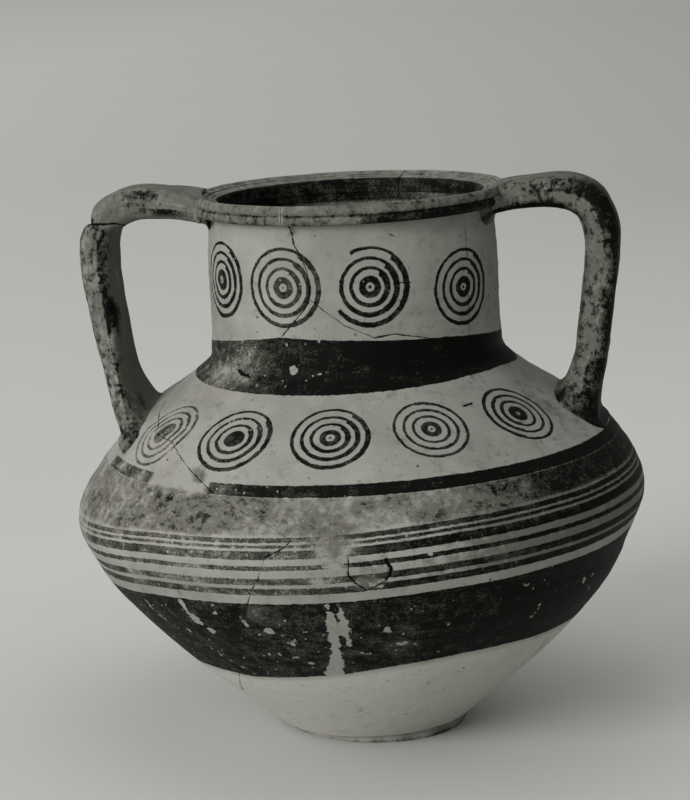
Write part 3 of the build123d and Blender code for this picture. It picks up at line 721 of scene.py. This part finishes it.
    # mended cracks: a dark line where the signed side is near zero, only close to the crack itself
    # beside the belly sherd the wide line is also painted shadow in the gap
    apart = add("Math", [shake, 1.0, field["crackSide"]], "MULTIPLY_ADD")
    apart = add("Math", [apart], "ABSOLUTE")
    wide = add("MapRange", [mottle, 0.35, 0.65, 0.2, 1.5])
    wide = add("Math", [wide, field["crackWide"]], "MULTIPLY")
    line = add("Math", [wide, apart], "SUBTRACT")
    close = add("MapRange", [field["crackNear"], 1.4, 1.8, 1.0, 0.0])
    line = add("MapRange", [line, -0.12, 0.12, 0.0, close])
    # tone of the paint: grey where little of it is left or where the brush streaked, dark where it is whole
    tone = add("Math", [uneven, 0.9, coverage], "MULTIPLY_ADD")
    tone = add("MapRange", [tone, 1.6, 2.18])
    inks = add("Mix", {0: tone, 6: tint["paintThin"], 7: tint["paintThick"]}, output=2, data_type="RGBA")

    # one over the other, from the clouds of the slip up to the cracks
    clouds = add("MapRange", [cloud, 0.3, 0.7])
    colour = tint[dark]
    for share, over in ((clouds, tint[light]), (bare, tint["bareClay"]), (field["inside"], tint["innerClay"]),
                        (washed, tint["wash"]), (soiled, tint["paintThin"]), (pit, tint["dirt"]), (holds, inks),
                        (line, tint["crack"])):
        colour = add("Mix", {0: share, 6: colour, 7: over}, output=2, data_type="RGBA")
    gloss = add("Math", [holds, tone], "MULTIPLY")
    rough = add("MapRange", [gloss, 0.0, 1.0, earthenware["slipRoughness"], earthenware["paintRoughness"]])
    rough = add("Math", [grain, 0.2, rough], "MULTIPLY_ADD")
    relief = mottle
    for height, share in ((grain, 0.4), (sand, 0.3), (pit, -1.0), (line, -1.5), (holds, 0.2)):
        relief = add("Math", [height, share, relief], "MULTIPLY_ADD")
    bump = add("Bump", {"Strength": 0.5, "Distance": earthenware["bumpHeight"], "Height": relief})
    shader = add("BsdfPrincipled", {
        "Base Color": colour, "Roughness": rough, "IOR": earthenware["ior"],
        "Specular IOR Level": earthenware["specular"], "Normal": bump})
    add("OutputMaterial", {"Surface": shader})
    return material


# finish of each slot: islands of paint in mm, drawn out along the wheel on the wall and lengthwise on the straps
finishes = {
    "painted_earthenware": slipPaintedEarthenware("slipPaintedEarthenware", "slipLight", "slipDark", 5.0, 1.5),
    "worn_painted_earthenware": slipPaintedEarthenware(
        "wornPaintedEarthenware", "handledLight", "handledDark", 3.4, 0.8, bands=False),
    "scuffed_earthenware": slipPaintedEarthenware(
        "scuffedAndShadedEarthenware", "slipLight", "slipDark", 4.0, 0.8, bands=False),
}


def plainFields(shape, **given):
    # fields of a piece without bands or circles
    return {k: np.broadcast_to(v, shape).astype(float) for k, v in dict(bareFields, **given).items()}


def makeFoot():
    # low disc: level underneath, leaned on top; each row has a radius and a share of the way from level to leaned
    rowRadius = np.array([12, 30, 44, 49, 50.4, 51, 51.1, 50.9, 51, 50.2, 40, 20.0])[:, None]
    share = np.array([0, 0, 0, 0, 0.03, 0.2, 0.45, 0.7, 0.93, 1, 1, 1.0])[:, None]
    radius, share, azimuth = np.broadcast_arrays(rowRadius, share, azimuths)
    level = -radius * np.sin(np.radians(azimuth)) * math.tan(lean)
    height = level + (jarForm["footHeight"] - level) * share
    points = place(azimuth, radius, height)
    scuff = lumps(points, 5, 4) * 0.35 * (share > 0.1) * (share < 0.95)
    points = place(azimuth, radius + scuff - 0.35 * (share > 0.1), height)
    points[..., 2] = np.where(share < 0.02, 0, np.maximum(points[..., 2], 0))
    # painted shade in the undercut at the foot's top: a dark broken line, strongest on the left
    undercutShade = np.exp(-((share - 0.97) / 0.08) ** 2) * (
        0.55 + 0.5 * smoothStep(10, -30, azimuth) + 0.5 * lumps(points, 9, 3))
    # cover of the foot: a little dirt and lumps of it, the painted undercut shade, and darker towards the bottom
    # edge
    soilAndShade = 0.12 * (share > 0.1) + undercutShade
    soilAndShade = soilAndShade + (0.25 * lumps(points, 6, 7) + 0.5 * smoothStep(0.3, 0.1, share)) * (share > 0.02)
    fields = plainFields(points.shape[:2], cover=np.clip(soilAndShade, 0, 1))
    gridPiece("footPiece", points, fields, ["foot"], "scuffed_earthenware")


def makeLowerBody():
    # bowl: underside and outside up to the joint, then the inside down to the floor
    foot, floor = jarForm["footHeight"], jarForm["floorHeight"]
    heights = wallRows(foot, jarForm["bodyJoint"], 104)
    wall = wallFields(azimuths, heights)
    inHeights = wallRows(floor + 2.5, jarForm["bodyJoint"], 16)[::-1]
    under, middle = (place(*np.broadcast_arrays(azimuths, np.array(radii, float)[:, None], level))
                     for radii, level in (([20, 40, 50, 53.2], foot), ([30, 15], floor)))
    grid = np.concatenate([under, outerGrid(azimuths, heights), innerGrid(azimuths, inHeights), middle])
    lowest = {k: v[:1].repeat(4, 0) for k, v in wall.items()}
    bare = wallFields(azimuths, np.concatenate([inHeights, [[14], [14]]]), inner=True)
    gridPiece("lowerBodyPiece", grid, joinFields([lowest, wall, bare]), ["lower_body"], "painted_earthenware")


def makeSherd():
    # thin slab in the bowl: its break outline in polar steps, outer face a little proud, edges eased down
    outline = np.array([(5.7, 129.0), (5.3, 120.4), (7.2, 113.3), (9.8, 110.8), (12.5, 117.2), (12.5, 124.2),
                        (11.6, 127.8), (5.7, 129.0)])
    centre = np.array([9.0, 120.2])
    t = np.concatenate([[0], np.cumsum(np.hypot(*np.diff(outline * [2.6, 1], axis=0).T))])
    even = np.linspace(0, t[-1], 121)[:-1]
    edge = np.stack([np.interp(even, t, outline[:, i]) for i in (0, 1)], 1)
    share = np.concatenate([np.linspace(0.06, 0.96, 16), [0.985, 1.0, 1.0, 0.97, 0.5]])[:, None, None]
    depth = np.concatenate([np.zeros(16), [0.1, 0.45, 2.5, 5.0, 5.0]])[:, None]
    spot = centre + share * (edge - centre)
    azimuth, height = spot[..., 0], spot[..., 1]
    relief = clayRelief(offWall(azimuth, height), height) + 0.15 - depth
    # its lower part is worn down
    relief = relief - 0.9 * smoothStep(119, 114, height) * smoothStep(1, 0.8, share[..., 0])
    gridPiece("bellySherdPiece", offWall(azimuth, height, relief), wallFields(azimuth, height), ["belly_sherd"],
              "painted_earthenware")


def wallRing(name, node, turns, heights, inHeights, roundColumns=True):
    # outside rows up, inside rows down: a closed section carried round the axis
    grid = np.concatenate([outerGrid(turns, heights), innerGrid(turns, inHeights)])
    fields = joinFields([wallFields(turns, heights), wallFields(turns, inHeights, inner=True)])
    gridPiece(name, grid, fields, [node], "painted_earthenware", roundRows=True, roundColumns=roundColumns)


def makeShoulder():
    # ring from the belly's joint to the foot of the neck
    rows, inRows = (wallRows(jarForm["bodyJoint"], jarForm["neckJoint"], count) for count in (86, 18))
    wallRing("shoulderPiece", "shoulder", azimuths, rows, inRows[::-1])


def breakHeight(azimuth):
    # lower edge of the neck sherd, or the lip's joint where there is none
    (turns, heights), lip = np.array(neckBreak).T, jarForm["lipJoint"]
    inside = (azimuth > turns[0]) & (azimuth <= turns[-1])
    return np.where(inside, np.interp(azimuth, turns, np.minimum(heights, lip)), lip)


def makeNeck():
    # ring whose top follows the break, and the sherd that stands on it; rows are shares of each column's own
    # height
    low, lip, gap = jarForm["neckJoint"], jarForm["lipJoint"], 0.12
    share = np.concatenate([[0], np.linspace(0.002, 0.97, 58), [0.985, 0.995, 1]])[:, None]
    inShare = np.linspace(1, 0, 22)[:, None]
    # more columns where the break climbs to the lip
    steep = np.linspace(57, neckBreak[-1][0], 25)[None, :]
    turns = np.sort(np.concatenate([azimuths, steep], 1))
    top = breakHeight(turns) - gap * (breakHeight(turns) < lip)
    wallRing("neckPiece", "neck", turns, low + share * (top - low), low + inShare * (top - low))
    turns = np.concatenate([np.linspace(neckBreak[0][0] + 0.15, 56.9, 250)[None, :], steep[:, :-2]], 1)
    base = breakHeight(turns) + gap
    share = np.concatenate([[0, 0.005, 0.015], np.linspace(0.03, 0.998, 58), [1]])[:, None]
    wallRing("neckSherdPiece", "neck_sherd", turns, base + share * (lip - base), base + inShare * (lip - base),
             roundColumns=False)


rimForm = {
    # section of the lip: radius, height, from its underside round the crest to the mouth and back
    "section": [
        (75.0, 279.5), (79.0, 279.9), (81.9, 280.5), (82.8, 282.0), (82.7, 283.9), (82.0, 284.9),
        (82.6, 286.0), (82.7, 287.6), (82.2, 288.8), (81.2, 289.8), (80.0, 289.9), (78.8, 289.2),
        (77.6, 288.9), (76.4, 288.8), (75.2, 288.0), (74.0, 287.7), (72.9, 287.6), (71.6, 287.2),
        (70.4, 286.7), (69.8, 285.6), (69.5, 283.5), (69.0, 279.5), (71.5, 279.5), (75.0, 279.5)],
    "frontBreak": -17.0,
    "backBreak": 165.0,
    "gap": 0.14,  # degrees left open on each side of a break
    "middle": (76.5, 284.6),
    "grooves": [(78.4, 0.55), (75.6, 0.5), (73.0, 0.5)],  # in its top: radius, half width
    "outerRadius": 82.6,
    "crestRadius": 80.9,
    "crestHeight": 290,
    "paintedFace": (80.6, 81.4),  # radii between which its top turns into its face
    "paintedMouth": (71.5, 70.4),  # radii between which its top turns into the mouth
}


def makeRim():
    # lip coil in two halves: the closed section carried round between its breaks
    line = np.array(rimForm["section"], float)
    section = np.concatenate([splineThrough(line[:22], 84), line[22:23]])
    middle, gap, front, back = (rimForm[k] for k in ("middle", "gap", "frontBreak", "backBreak"))
    for name, start, end, node in (
            ("rimRightPiece", front, back, "rim_right"), ("rimLeftPiece", back, front + 360, "rim_left")):
        ring = np.concatenate([azimuths[0], azimuths[0] + 360])
        turns = ring[(ring > start + gap) & (ring < end - gap)]
        turns = np.concatenate([[start + gap], turns, [end - gap]])[None, :]
        radius, height, azimuth = np.broadcast_arrays(section[:, :1], section[:, 1:], turns)
        points = place(azimuth, radius, height)
        relief = lumps(points, 14, 2) * 0.22 + lumps(points, 4, 6) * 0.12
        size = np.hypot(radius - middle[0], height - middle[1])
        lift = np.minimum(relief * (height - middle[1]) / size, 0.1) * (height > 280.4)
        points = place(azimuth, radius + relief * (radius - middle[0]) / size - 0.15, height + lift)
        turn = fromFront(azimuth)
        # paint: whole inside the mouth, dark rings in the grooves of the top; on the face it stays on the lower
        # bead and in the groove, most of it to the right, and the front break is rubbed light
        face, mouth = (smoothStep(*rimForm[k], radius) for k in ("paintedFace", "paintedMouth"))
        grooves = sum(np.exp(-((radius - r) / half) ** 2) for r, half in rimForm["grooves"])
        lower = smoothStep(286.2, 284.4, height)
        right = smoothStep(-2, 22, turn) * smoothStep(170, 140, turn)
        patchy = 0.22 + 0.1 * right + lower * (0.16 + 0.4 * right) + 0.4 * np.exp(-((height - 284.9) / 0.5) ** 2)
        cover = face * (patchy - 0.04 + 0.12 * lumps(points, 8, 5) * (0.4 + lower)) + mouth * 0.95 + (
            1 - face) * (1 - mouth) * (0.12 + 0.5 * grooves + 0.12 * lumps(points, 15, 6))
        toFront, toBack = (np.radians(np.abs(turn - k)) * radius for k in (front, back))
        breaks = np.minimum(np.minimum(toFront + 0.3, toBack), 20)
        fields = plainFields(
            points.shape[:2], cover=np.clip(cover, 0, 1), wash=0.44 + 0.2 * face + 0.1 * lumps(points, 5, 7),
            patchy=(0.18 + 0.2 * face) * (1 - mouth), wear=0.06 * lumps(points, 12, 9),
            flake=np.maximum(1.3 - toFront, -9), crackNear=breaks, crackSide=breaks, crackWide=0.35)
        gridPiece(name, points, fields, [node], "worn_painted_earthenware", roundRows=True, roundColumns=False)


handleForm = {
    # stations of both straps: direction, thickness, width
    "stations": [
        (5, 13.5, 43.2), (4, 14.6, 38.4), (2, 15.5, 33), (-4, 16.6, 32), (-22, 18, 32), (-44, 18.9, 32),
        (-66, 19.2, 32), (-87, 19.2, 32), (-96, 18.3, 32), (-99, 18, 32), (-101, 19.2, 33.3), (-104, 23.5, 43.2),
        (-108, 32.9, 56)],
    # where they lie: reach, height, offset to the front, twist
    "right": [
        (70.6, 281.3, 0, 0), (84.9, 284.1, 0, 0), (98.2, 285.3, 0, 0), (108, 285.7, 0, 0), (117.4, 284.1, 0, 0),
        (125.6, 279.5, 0.1, 0), (129.5, 273.3, 0.1, 0), (132.2, 262, 0.2, 0), (131.1, 245.1, 0.3, 0),
        (127, 219.2, 0.6, 0), (122.3, 196.9, 0.7, 0), (117.6, 181.3, 0.9, 0), (111.4, 160.2, 1, 0)],
    "left": [
        (70.6, 283, 13.5, 0), (84.9, 285.8, 13.2, 0), (98.2, 287.1, 13, 0), (108, 287.5, 13, 0),
        (117.4, 285.8, 13.2, 0), (125.6, 281.2, 13.7, 0), (129.4, 274.9, 14.4, 0.1), (132, 263.5, 15.7, 0.5),
        (130.8, 246.3, 17.7, 1.5), (126.1, 220, 20.7, 3.9), (120.7, 197.4, 23.3, 7), (115.4, 181.5, 25.1, 9.7),
        (108.2, 160.1, 27.6, 14.1)],
    "length": 172,
    "girth": 90,
    # thinned by hand: share of the length, mm off the inner side, mm off the outer side
    "rightSlim": [
        (0.3, 0, 0), (0.36, 0.3, 0.6), (0.46, 0.3, 0.5), (0.52, 0.6, 0.2), (0.6, 0.7, 0), (0.66, 1.0, -0.4),
        (0.7, 1.5, -0.7), (0.745, 2.4, -1.2), (0.78, 3.0, -1.1), (0.85, 3.4, -0.5), (1, 3, 0)],
    "leftSlim": [
        (0.3, 0, 0), (0.36, 2.4, 0), (0.45, 2.1, 0), (0.52, 2.5, 0), (0.58, 2.9, 0), (0.62, 3.6, 0),
        (0.68, 4.4, 0.3), (0.71, 5.0, 0.6), (0.75, 6.2, 0.9), (0.79, 6.8, 1.4), (0.83, 6.8, 2.6),
        (0.88, 6.0, 4.6), (0.93, 5.4, 8), (0.97, 4.6, 12.5), (1, 4, 16)],
    "cornerShare": 0.365,
    "filletRadius": 5.0,
    "buried": 3.0,
    "breakHeight": 275.5,
    "breakReach": 132.2,
    "breakSlope": -3.0,
    "breakRise": 0.2,  # towards the front
    "breakMiddle": 15.0,
    "bendReach": 112,
    "bendHeight": 265,
    # paint left on the straps: share of the length, share round the section (0 outwards, 0.2 front, 0.32 the
    # front inner corner, 0.5 inwards), half length and half width in mm, share covered
    "rightMarks": [
        (0.22, 0.13, 16, 5, 0.42), (0.30, 0.07, 12, 5, 0.3), (0.16, 0.35, 24, 3, 0.7), (0.36, 0.12, 14, 12, 0.42),
        (0.45, 0.12, 10, 5, 0.3), (0.92, 0.2, 13, 16, 0.4), (0.62, 0.24, 9, 5, 0.3), (0.5, 0.3, 8, 2.5, 0.2),
        (0.8, 0.13, 12, 5, 0.3), (0.95, 0.4, 10, 10, 0.25)],
    "leftMarks": [
        (0.175, 0.05, 10, 3, 0.6), (0.26, 0.15, 10, 5, 0.4), (0.11, 0.31, 14, 3, 0.9), (0.34, 0.12, 5, 8, 0.35),
        (0.605, 0.345, 8, 5.5, 1.0), (0.667, 0.325, 5.5, 1.8, -1.4), (0.86, 0.4, 7, 4, 0.45),
        (0.96, 0.2, 9, 14, 0.3), (0.45, 0.14, 14, 4, 0.25), (0.76, 0.16, 14, 5, 0.25), (0.2, 0.2, 16, 4, 0.25)],
}


def strapGrid(name):
    # rounded rectangle carried along the middle line: stations joined by one spline, the section in the strap's
    # own axes (x through its thickness, outwards; y across it, to the front), thinned by the slim table
    scale = np.array([1, 1, 1, 0.35, 1, 1, 1])
    lies = np.array(handleForm[name], float)
    line = splineThrough(np.hstack([lies[:, :3], handleForm["stations"], lies[:, 3:]]) * scale, 200) / scale
    reach, height, offset, direction, thick, wide, twist = line.T[:, :, None]
    corners, steps, loop = [(1, 1), (-1, 1), (-1, -1), (1, -1), (1, 1)], (22, 12, 22, 12), []
    for k in range(4):
        a = np.radians(np.concatenate([np.linspace(90 * k, 90 * k + 90, 9), np.full(steps[k], 90 * k + 90)]))
        s = np.concatenate([np.zeros(9), np.linspace(0, 1, steps[k] + 2)[1:-1]])[:, None]
        corner = np.array(corners[k]) * (1 - s) + np.array(corners[k + 1]) * s
        loop.append(np.concatenate([np.cos(a)[:, None], np.sin(a)[:, None], corner], 1))
    cosine, sine, cornerX, cornerY = np.concatenate(loop).T[:, None, :]
    share = np.linspace(0, 1, len(line))[:, None] * np.ones_like(cosine)
    around = np.arange(cosine.shape[1])[None, :] / cosine.shape[1] * np.ones_like(share)
    r = handleForm["cornerShare"] * thick
    x = cornerX * (thick / 2 - r) + r * cosine
    y = cornerY * (wide / 2 - r) + r * sine
    face, front = x / (thick / 2), y / (wide / 2)
    slim = np.array(handleForm[name + "Slim"], float).T
    inner, outer = (np.interp(share, slim[0], slim[i]) for i in (1, 2))
    x = x - face * np.where(face < 0, inner, outer)
    d, t = np.radians(direction), np.radians(twist)
    across, up = -np.sin(d), np.cos(d)
    u = reach + x * across * np.cos(t) + y * np.sin(t)
    v = offset + y * np.cos(t) - x * across * np.sin(t)
    normal = np.stack(np.broadcast_arrays(cosine * across, sine + 0 * reach, cosine * up), -1)
    return u, v, height + x * up, normal, face, front, share, around


def strapPoints(side, u, v, h):
    # reach to the side, offset to the front and height along the leaned axis, as points
    return (side * u)[..., None] * rightward - v[..., None] * backward + h[..., None] * upward


def wallGap(u, v, h):
    # distance outside the jar's wall or lip, measured square to it, and its outward direction
    lip = jarForm["lipJoint"]
    out, up = normalAt(np.minimum(h, lip - 0.5))
    out, up = np.where(h > lip, 1, out), np.where(h > lip, 0, up)
    rim = np.where(h > rimForm["crestHeight"], rimForm["crestRadius"], rimForm["outerRadius"])
    wall = np.where(h > lip, rim, radiusAt(np.minimum(h, lip)))
    return (np.hypot(u, v) - wall) * out, out, up


def makeHandle(side, name):
    # strap with its lumps, grown into a fillet where it meets the wall: its coordinates and its places
    u, v, h, normal, face, front, share, around = strapGrid(name)
    points = strapPoints(side, u, v, h)
    relief = lumps(points, 11, 3) * 0.3 + lumps(points, 4.5, 4) * 0.18
    r = handleForm["filletRadius"]
    near = np.clip(r - wallGap(u, v, h)[0], 0, r)
    grow = r - np.sqrt(np.maximum(r * r - near ** 2, 0)) + relief
    if side < 0:
        # the mended break: the arm's end is knocked back on the outside, the shank's rounded a little
        away = breakDistance(u, v, h) + 40 * (share < 0.2) - 40 * (share > 0.5)
        armKnock = 4.2 * np.exp(-np.maximum(away, 0) / 6) * (away >= 0)
        shankKnock = 1.2 * np.exp(np.minimum(away, 0) / 2.5) * (away < 0)
        grow = grow - (armKnock + shankKnock) * smoothStep(0.1, 0.8, face)
    # the top is taken in a little instead, so that it stays under the solids' highest line
    grow = np.where(h > 286, np.minimum(grow, -0.12), grow)
    u, v, h = u + normal[..., 0] * grow, v + normal[..., 1] * grow, h + normal[..., 2] * grow
    # the buried end keeps a few millimetres under the wall
    gap, out, up = wallGap(u, v, h)
    push = np.maximum(-handleForm["buried"] - gap, 0)
    size = np.hypot(u, v)
    return u + push * out * u / size, v + push * out * v / size, h + push * up, face, front, share, around


def breakDistance(u, v, h):
    # distance above the plane of the left handle's mended break, which falls a little inwards and rises to the
    # front
    slope = math.radians(handleForm["breakSlope"])
    level = handleForm["breakHeight"] + (v - handleForm["breakMiddle"]) * handleForm["breakRise"]
    return (h - level) * math.cos(slope) - (handleForm["breakReach"] - u) * math.sin(slope)


def handleFields(points, face, front, share, around, side):
    # cover of old paint: a ground share for each side of the strap, then the marks as soft ovals
    outer, inner = smoothStep(0.35, 0.95, face), smoothStep(-0.3, -0.9, face)
    frontFace = smoothStep(0.6, 0.95, front)
    length, girth = handleForm["length"], handleForm["girth"]
    # brush and finger streaks along the strap, 3 mm wide and 25 mm long
    streaks = lumps(np.stack([around * girth * 3, share * length * 0.36, 0 * share], -1), 9, 23)
    patchy = 0.38 - 0.2 * inner
    if side > 0:
        outer = smoothStep(-0.1, 0.9, face)
        cover = outer * (0.3 + 0.42 * smoothStep(0.28, 0.36, share)) + 0.16 * frontFace + 0.4 * inner
        patchy = patchy + 0.14 * frontFace
        wash = 0.78 + 0.3 * streaks
        marks = handleForm["rightMarks"]
    else:
        shank = smoothStep(0.31, 0.36, share)
        stripe = np.exp(-((around - 0.295) * girth / 4.2) ** 2) * shank
        cover = shank * (0.14 * outer + 0.12 * frontFace) + 0.1 * inner + stripe * (
            0.46 + 0.2 * lumps(points, 11, 21))
        patchy = patchy + 0.16 * shank * (outer + frontFace)
        wash = 0.6 + 0.3 * streaks + 0.2 * inner
        marks = handleForm["leftMarks"]
    for along, turn, halfLength, halfWidth, amount in marks:
        aside = (around - turn + 0.5) % 1 - 0.5
        cover = cover + amount * softOval((share - along) * length, aside * girth, halfLength, halfWidth)
    cover = cover + 0.16 * lumps(points, 10, 20) + 0.1 * streaks + 0.04
    return plainFields(points.shape[:2], cover=np.clip(cover, 0, 1), wash=np.clip(wash, 0, 1.2),
                       patchy=patchy, wear=-0.1, crackWide=0.55)


def makeHandles():
    # right strap whole; left strap cut at its mended break into arm and shank
    u, v, h, *places = makeHandle(1, "right")
    points = strapPoints(1, u, v, h)
    gridPiece("rightHandlePiece", points, handleFields(points, *places, 1), ["right_handle"],
              "worn_painted_earthenware")
    u, v, h, *places = makeHandle(-1, "left")
    points = strapPoints(-1, u, v, h)
    side = breakDistance(u, v, h) + lumps(points, 5, 13) * 0.5
    # only the crossing at the bend is the break: nearer to the jar the arm counts as above it
    side = np.where((u < handleForm["bendReach"]) & (h > handleForm["bendHeight"]), np.maximum(side, 5), side)
    low = side < 0
    after = np.argmax(low, 0)
    column = np.arange(low.shape[1])
    d0, d1 = side[after - 1, column], side[after, column]
    crossing = after - 1 + d0 / (d0 - d1)
    fieldSet = handleFields(points, *places, -1)
    fieldSet["crackNear"], fieldSet["crackSide"] = np.minimum(np.abs(side), 20), np.clip(side, -20, 20)
    last = len(points) - 1
    for name, node, start, end in (
            ("leftHandleArmPiece", "left_handle_arm", 0 * crossing, crossing - 0.05),
            ("leftHandleShankPiece", "left_handle_shank", crossing + 0.05, 0 * crossing + last)):
        rows = start + np.linspace(0, 1, 120)[:, None] * (end - start)
        low = np.clip(np.floor(rows).astype(int), 0, last - 1)
        f = rows - low
        part = points[low, column] * (1 - f)[..., None] + points[low + 1, column] * f[..., None]
        fields = {k: a[low, column] * (1 - f) + a[low + 1, column] * f for k, a in fieldSet.items()}
        gridPiece(name, part, fields, [node], "worn_painted_earthenware")


makeFoot()
makeLowerBody()
makeSherd()
makeShoulder()
makeNeck()
makeRim()
makeHandles()
print("jar pieces made")

studio = {
    "cameraPlace": (0.1589, -1.2467, 0.4365),
    "cameraYaw": 8.0,
    "cameraPitch": 11.74,
    "lens": 107.68,
    "seamBehind": 224,  # mm, where the front sheet of the floor ends
    "sheetReach": 3000,
    # its section across that edge, eased down to the room's floor, and the section of the room: mm out, mm up
    "sheetEdge": [(-3000, 0), (-60, 0), (-40, -0.3), (-20, -1.0), (0, -1.58)],
    "roomFloor": [(0, -1.6), (3000, -1.6), (9000, -1.6)],
    "roomWall": [(12500, -1.6), (13300, 10), (14000, 60), (14600, 400), (14700, 900), (14700, 1700)],
    # strength, angular size, elevation, direction in degrees
    "lights": {
        "windowLight": (2.32, 30, 18, -38), "skylight": (0.4, 80, 46, -80),
        "ceilingLight": (1.46, 120, 82, -150)},
    "glowColour": "#F2F4F0",
    "glowStrength": 0.05,
}


def makeStage():
    # pale table sheet in front, and a round pale room behind it: a profile turned about the jar, its floor a
    # little lower than the sheet and its wall far outside every view
    paper, add = newMaterial("paleStudioPaper")
    spot = add("TexCoord", output=3)
    cloud = add("TexNoise", {"Vector": spot, "Scale": 3.0, "Detail": 3})
    across = add("SeparateXYZ", [spot])
    far = across.node.outputs[1]
    # the light falls off to the far right, and a little with the depth
    right = add("MapRange", [across, -1.6, 0.5])
    right = add("MapRange", [far, 0.3, 2.5, 0.0, right])
    deep = add("MapRange", [far, -0.6, 9.0, 0.0, 0.55])
    colour = hexColour("#CECFCB")
    for share, over in ((cloud, "#D3D4D0"), (right, "#ADAEA9"), (deep, "#999A96")):
        colour = add("Mix", {0: share, 6: colour, 7: hexColour(over)}, output=2, data_type="RGBA")
    shader = add("BsdfPrincipled", {"Base Color": colour, "Roughness": 0.9, "Specular IOR Level": 0.2})
    add("OutputMaterial", {"Surface": shader})
    turn = math.radians(studio["cameraYaw"])
    edge = np.array(studio["sheetEdge"]) + [studio["seamBehind"], 0]
    x = np.linspace(-studio["sheetReach"], studio["sheetReach"], 9)
    table = np.stack(np.broadcast_arrays(
        x[None, :] * math.cos(turn) - edge[:, :1] * math.sin(turn),
        x[None, :] * math.sin(turn) + edge[:, :1] * math.cos(turn), edge[:, 1:]), -1)
    profile = np.concatenate([studio["roomFloor"], splineThrough(studio["roomWall"], 80)])
    around = np.linspace(0, 2 * math.pi, 97)[None, :]
    room = np.stack(np.broadcast_arrays(
        profile[:, :1] * np.sin(around), profile[:, :1] * np.cos(around), profile[:, 1:]), -1)
    for name, grid in (("floorSheet", table), ("roundRoom", room)):
        quads = quadsOf(np.arange(grid[..., 0].size).reshape(grid.shape[:2]))
        mesh = bpy.data.meshes.new(name)
        mesh.from_pydata((grid.reshape(-1, 3) / 1000).tolist(), [], quads.tolist())
        mesh.shade_smooth()
        mesh.materials.append(paper)
        sheet = bpy.data.objects.new(name, mesh)
        bpy.context.scene.collection.objects.link(sheet)
        sheet.visible_shadow = name != "roundRoom"


def makeCamera():
    # turned left by its yaw and down by its pitch: side, up and back are the columns of its matrix
    data = bpy.data.cameras.new("camera")
    data.lens, data.sensor_width, data.clip_end = studio["lens"], 36, 50
    camera = bpy.data.objects.new("camera", data)
    yaw, pitch = math.radians(studio["cameraYaw"]), math.radians(studio["cameraPitch"])
    side = np.array([math.cos(yaw), math.sin(yaw), 0])
    forward = np.array([-math.sin(yaw) * math.cos(pitch), math.cos(yaw) * math.cos(pitch), -math.sin(pitch)])
    rows = np.stack([side, np.cross(side, forward), -forward], 1)
    camera.matrix_world = Matrix([[*rows[i], studio["cameraPlace"][i]] for i in range(3)] + [[0, 0, 0, 1]])
    bpy.context.scene.collection.objects.link(camera)
    bpy.context.scene.camera = camera


makeStage()
for name, (energy, angle, elevation, azimuth) in studio["lights"].items():
    lamp = bpy.data.lights.new(name, "SUN")
    lamp.energy, lamp.angle = energy, math.radians(angle)
    light = bpy.data.objects.new(name, lamp)
    light.rotation_euler = (math.radians(90 - elevation), 0, math.radians(azimuth))
    bpy.context.scene.collection.objects.link(light)
world = bpy.data.worlds.new("softRoom")
world.use_nodes = True
glow = world.node_tree.nodes["Background"].inputs
glow["Color"].default_value = hexColour(studio["glowColour"])
glow["Strength"].default_value = studio["glowStrength"]
bpy.context.scene.world = world
bpy.context.scene.view_settings.view_transform = "Standard"  # plain contrast, as in the old print
makeCamera()
print("floor, lights and camera placed")
